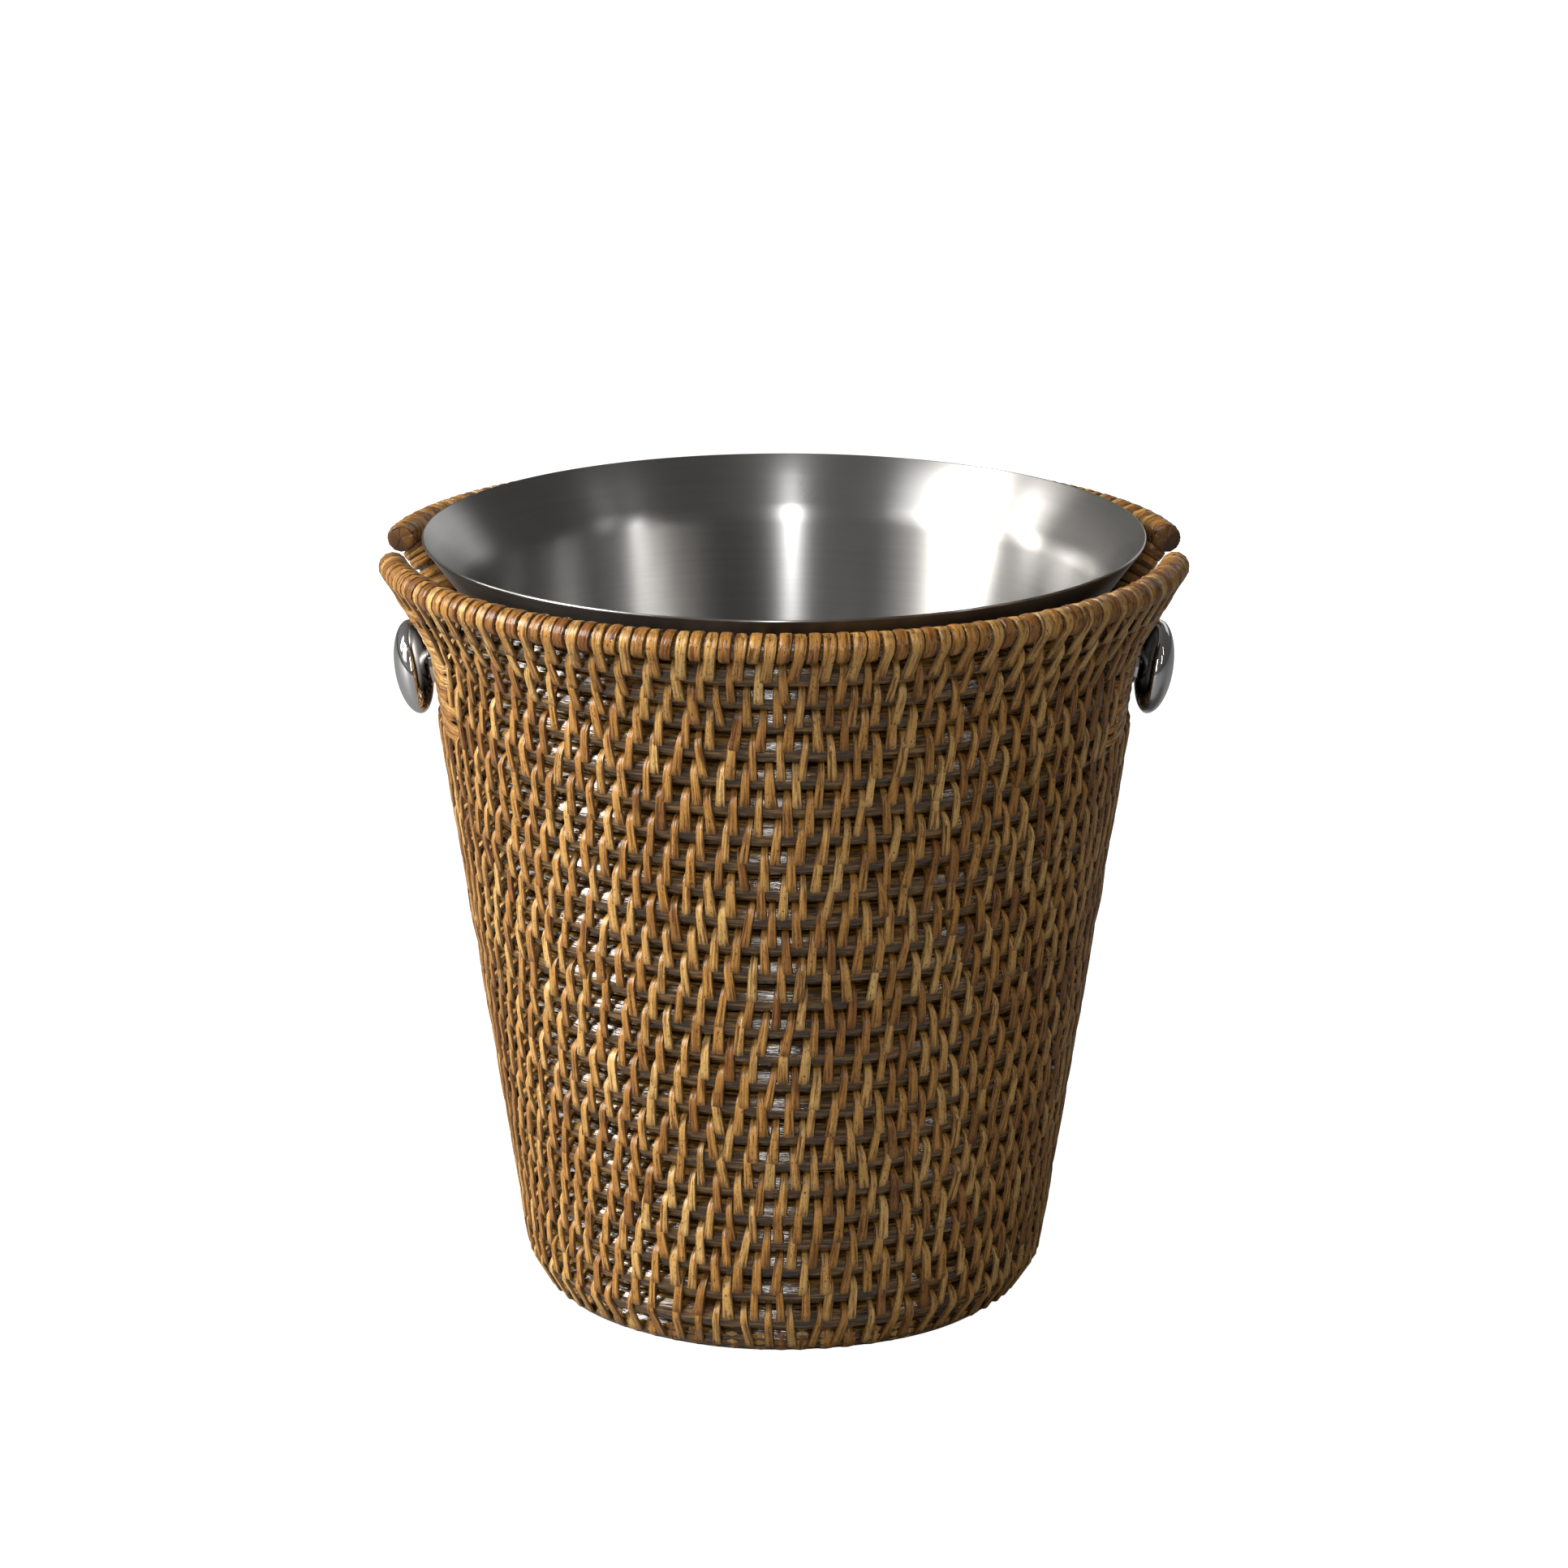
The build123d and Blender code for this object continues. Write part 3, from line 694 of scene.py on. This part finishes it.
def rounded(corners, radii, steps):
    """A line through the corners with each inner one rounded by an arc. The arc's centre lies on the
    bisector, and its points turn evenly from one side's direction to the next."""
    corners = np.asarray(corners, float)
    line = [corners[:1]]
    for before, corner, after, radius in zip(corners, corners[1:], corners[2:], radii):
        to_before = (before - corner) / np.linalg.norm(before - corner)
        to_after = (after - corner) / np.linalg.norm(after - corner)
        half = np.arccos(np.clip(to_before @ to_after, -1, 1)) / 2
        bisector = (to_before + to_after) / np.linalg.norm(to_before + to_after)
        centre = corner + bisector * radius / np.sin(half)
        sweep = np.linspace(-1, 1, steps)[:, None] * (np.pi / 2 - half)
        side = (to_after - to_before) / np.linalg.norm(to_after - to_before)
        line.append(centre - radius * (np.cos(sweep) * bisector - np.sin(sweep) * side))
    line.append(corners[-1:])
    return np.concatenate(line)


def subdivided(line, longest):
    """The line with extra points so that no step is longer than asked."""
    step = np.linalg.norm(np.diff(line, axis=0), axis=1)
    pieces = np.maximum(1, np.ceil(step / longest)).astype(int)
    at = np.concatenate([[0], np.cumsum(np.repeat(1 / pieces, pieces))])
    return np.stack([np.interp(at, np.arange(len(line)), line[:, k]) for k in range(2)], axis=-1)


def turned_piece(name, outline, sides, axes=np.eye(3), centre=(0, 0, 0)):
    """The outline of radius and height spun about Z, then laid along other axes about a centre."""
    turn = np.linspace(0, 2 * np.pi, sides, endpoint=False)
    points = around(outline[:, :1], turn[None, :], outline[:, 1:]) @ axes + centre
    length = np.concatenate([[0], np.cumsum(np.linalg.norm(np.diff(outline, axis=0), axis=1))])
    return lay_mesh(name, points[None], length[None], False)


outer = rounded([(POLE, SHELL_BOTTOM),
                 (SHELL_RADIUS_AT_FLOOR + WALL_SLOPE * SHELL_BOTTOM, SHELL_BOTTOM),
                 (SHELL_RADIUS_AT_FLOOR + WALL_SLOPE * shoulder_height, shoulder_height),
                 (LIP_RADIUS, LIP_HEIGHT)], [BOTTOM_BEND, SHOULDER_BEND], 9)
outer = subdivided(outer, LONGEST_STEP)
along = np.gradient(outer, axis=0)
inward = np.stack([-along[:, 1], along[:, 0]], axis=-1) / np.linalg.norm(along, axis=1, keepdims=True)
outer[-1] -= (SHEET / 2) * along[-1] / np.linalg.norm(along[-1])
inner = outer + SHEET * inward
lip_middle = (outer[-1] + inner[-1]) / 2
lip_turn = np.radians([30, 60, 90, 120, 150])[:, None]
lip = (lip_middle - inward[-1] * SHEET / 2 * np.cos(lip_turn)
       + along[-1] / np.linalg.norm(along[-1]) * SHEET / 2 * np.sin(lip_turn))
bucket = turned_piece("bucket", np.concatenate([outer, lip, inner[::-1]]), BUCKET_SIDES)


def steel_material(name, colour, roughness, unevenness, grain, stretch):
    """Spun steel: fine rings round the axis from the tool, and slow changes of roughness round the wall. The
    rings are noise squeezed flat along the axis. stretch blurs what the steel reflects up and down."""
    material = bpy.data.materials.new(name)
    material.use_nodes = True
    tree = material.node_tree
    shader = tree.nodes["Principled BSDF"]
    place = add_node(tree, "ShaderNodeTexCoord").outputs["Object"]
    level = add_node(tree, "ShaderNodeMapping", {"Vector": place, "Scale": (0.03, 0.03, 1.0)})
    rings = add_node(tree, "ShaderNodeTexNoise",
                     {"Vector": level.outputs[0], "Scale": 700.0, "Detail": 2.0, "Roughness": 0.6})
    upright = add_node(tree, "ShaderNodeMapping", {"Vector": place, "Scale": (1.0, 1.0, 0.08)})
    streaks = add_node(tree, "ShaderNodeTexNoise",
                       {"Vector": upright.outputs[0], "Scale": 38.0, "Detail": 1.0})
    rougher = add_node(tree, "ShaderNodeMapRange",
                       {"Value": streaks.outputs["Fac"], "From Min": 0.25, "From Max": 0.75,
                        "To Min": roughness - unevenness, "To Max": roughness + unevenness}, clamp=False)
    darker = tuple(0.86 * c for c in colour)
    body = mix_colour(tree, rings.outputs["Fac"], (*darker, 1), (*colour, 1))
    bump = add_node(tree, "ShaderNodeBump",
                    {"Height": rings.outputs["Fac"], "Strength": grain, "Distance": 0.2 * MM})
    tree.links.new(body, shader.inputs["Base Color"])
    tree.links.new(rougher.outputs["Result"], shader.inputs["Roughness"])
    tree.links.new(bump.outputs["Normal"], shader.inputs["Normal"])
    if stretch:
        tangent = add_node(tree, "ShaderNodeTangent", direction_type="RADIAL", axis="Z")
        tree.links.new(tangent.outputs[0], shader.inputs["Tangent"])
        shader.inputs["Anisotropic"].default_value = stretch
        shader.inputs["Anisotropic Rotation"].default_value = 0.25
    shader.inputs["Metallic"].default_value = 1.0
    return material


satin_steel = steel_material("satin_steel", (0.41, 0.405, 0.40), 0.31, 0.05, 0.08, 0.90)
# painted shade: the outside's steel colour is darker than the inside's, for the shaded gap under the lip
unpolished_steel_painted_shade = steel_material("unpolished_steel_painted_shade", (0.30, 0.285, 0.27), 0.42, 0.06, 0.12, 0.0)
bucket.data.materials.append(satin_steel)
bucket.data.materials.append(unpolished_steel_painted_shade)
outside_faces = (len(outer) - 1) * BUCKET_SIDES
bucket.data.polygons.foreach_set("material_index",
                                 (np.arange(len(bucket.data.polygons)) < outside_faces).astype(np.int32))
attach(bucket, "bucket")
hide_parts("bucket_shell")


# ---- Knobs -----------------------------------------------------------------------------------------------
# Two mirror-polished knobs carry the bucket. Each is a flat round button on a short neck that stands square
# to the wall and drops into a slot of the sleeve, held by a stud through the neck.
KNOB_RADIUS = 15.0 * MM
KNOB_FRONT = 6.4 * MM
KNOB_BACK = 5.4 * MM
KNOB_SEAT = 6.0 * MM            # radius of the neck, where the button's back ends
KNOB_POLE = 0.15 * MM
KNOB_SIDES = 96
wall_tilt = np.arctan(WALL_SLOPE)
polished_steel = steel_material("polished_steel", (0.66, 0.66, 0.68), 0.06, 0.02, 0.02, 0.0)

front_arc = np.linspace(0, np.pi / 2, 14)
back_arc = np.linspace(np.pi / 2, np.pi - np.arcsin(KNOB_SEAT / KNOB_RADIUS), 10)[1:]
front_radius = np.maximum(KNOB_RADIUS * np.sin(front_arc), KNOB_POLE)
knob_outline = np.concatenate([
    np.stack([front_radius, KNOB_FRONT * np.cos(front_arc)], axis=-1),
    np.stack([KNOB_RADIUS * np.sin(back_arc), KNOB_BACK * np.cos(back_arc)], axis=-1),
])
for hand, way in (("left", -1), ("right", 1)):
    low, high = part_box(f"knob_{hand}")
    nose = np.hypot(KNOB_FRONT * np.cos(wall_tilt), KNOB_RADIUS * np.sin(wall_tilt))
    centre = np.array([(high.x - nose) if way > 0 else (low.x + nose), 0, (low.z + high.z) / 2])
    axis = np.array([way * np.cos(wall_tilt), 0, -np.sin(wall_tilt)])
    sideways = np.array([0, 1, 0])
    axes = np.stack([sideways, np.cross(axis, sideways), axis])
    knob = turned_piece(f"knob_button_{hand}", knob_outline, KNOB_SIDES, axes, centre)
    knob.data.materials.append(polished_steel)
    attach(knob, "bucket")
    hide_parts(f"knob_{hand}")
    for part in (f"knob_neck_{hand}", f"knob_stud_{hand}"):
        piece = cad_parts[part]
        piece.data.materials.clear()
        piece.data.materials.append(polished_steel)


# ---- Studio ----------------------------------------------------------------------------------------------
# A white floor, tall soft lights on the left, narrow strips in front and on the right that draw bright
# bands in the steel, a weak light behind, and surroundings that are brighter on the left than on the right.
FLOOR_REACH = 9.0
FLOOR_FRONT = -4.0
FLOOR_BACK = 14.0
FLOOR_LIFT = 0.97               # keeps the floor white where it is seen, without lighting the object
floor_mesh = bpy.data.meshes.new("floor")
corners = [(-FLOOR_REACH, FLOOR_FRONT, 0), (FLOOR_REACH, FLOOR_FRONT, 0),
           (FLOOR_REACH, FLOOR_BACK, 0), (-FLOOR_REACH, FLOOR_BACK, 0)]
floor_mesh.from_pydata(corners, [], [(0, 1, 2, 3)])
floor = bpy.data.objects.new("floor", floor_mesh)
bpy.context.scene.collection.objects.link(floor)
floor_material = bpy.data.materials.new("white_floor")
floor_material.use_nodes = True
tree = floor_material.node_tree
shader = tree.nodes["Principled BSDF"]
place = add_node(tree, "ShaderNodeTexCoord").outputs["Object"]
mottle = add_node(tree, "ShaderNodeTexNoise", {"Vector": place, "Scale": 30.0, "Detail": 4.0})
pale = ramp(tree, mottle.outputs["Fac"], [(0.3, (0.22, 0.22, 0.22)), (0.7, (0.25, 0.25, 0.25))])
tree.links.new(pale, shader.inputs["Base Color"])
shader.inputs["Roughness"].default_value = 0.7
shader.inputs["Emission Color"].default_value = (1, 1, 1, 1)
seen = add_node(tree, "ShaderNodeLightPath").outputs["Is Camera Ray"]
lift = add_node(tree, "ShaderNodeMath", {0: seen, 1: FLOOR_LIFT}, operation="MULTIPLY")
tree.links.new(lift.outputs[0], shader.inputs["Emission Strength"])
floor_mesh.materials.append(floor_material)


def soft_light(name, place, aim, width, height, power, colour=(1, 1, 1)):
    """A rectangular area light that faces a point."""
    lamp = bpy.data.lights.new(name, "AREA")
    lamp.shape = "RECTANGLE"
    lamp.size, lamp.size_y = width, height
    lamp.energy = power
    lamp.color = colour
    holder = bpy.data.objects.new(name, lamp)
    holder.location = place
    direction = Vector(aim) - Vector(place)
    holder.rotation_euler = direction.to_track_quat("-Z", "Y").to_euler()
    bpy.context.scene.collection.objects.link(holder)


DAYLIGHT = (1.0, 0.97, 0.92)
soft_light("window_left", (-2.05, -0.45, 1.2), (0, 0, 0.12), 0.7, 1.4, 90, DAYLIGHT)
soft_light("window_front_left", (-1.85, -0.95, 1.2), (0, 0, 0.12), 0.22, 1.2, 19, DAYLIGHT)
soft_light("window_back_left", (-1.95, 0.55, 1.1), (0, 0, 0.12), 0.4, 1.2, 14, DAYLIGHT)
soft_light("overhead", (-1.5, -0.75, 1.85), (0, 0, 0.12), 0.8, 0.14, 9)
soft_light("strip_front", (-0.10, -1.95, 1.15), (0, 0, 0.2), 0.10, 1.7, 16)
soft_light("strip_right", (1.7, -1.06, 0.8), (0, 0, 0.2), 0.06, 0.6, 2.5)
soft_light("strip_far_right", (1.95, -0.55, 1.3), (0, 0, 0.2), 0.07, 0.8, 1)
soft_light("fill_back", (1.0, 2.1, 0.8), (0, 0, 0.12), 1.6, 0.8, 3)

world = bpy.data.worlds.new("studio")
bpy.context.scene.world = world
world.use_nodes = True
tree = world.node_tree
direction = add_node(tree, "ShaderNodeTexCoord").outputs["Generated"]
parts = add_node(tree, "ShaderNodeSeparateXYZ", {"Vector": direction})
rightward = add_node(tree, "ShaderNodeMapRange",
                     {"Value": parts.outputs["X"], "From Min": -1.0, "From Max": 1.0})
glow = ramp(tree, rightward.outputs["Result"],
            [(0.0, (0.40, 0.39, 0.37)), (0.5, (0.17, 0.165, 0.155)), (1.0, (0.10, 0.097, 0.092))])
background = tree.nodes["Background"]
tree.links.new(glow, background.inputs["Color"])
background.inputs["Strength"].default_value = 0.85
bpy.context.scene.view_settings.view_transform = "Standard"

camera_data = bpy.data.cameras.new("camera")
camera_data.lens = 134.8
camera = bpy.data.objects.new("camera", camera_data)
camera.location = (0, -1.7938, 0.6711)
camera.rotation_euler = (np.radians(90 - 15.79), 0, 0)
bpy.context.scene.collection.objects.link(camera)
bpy.context.scene.camera = camera
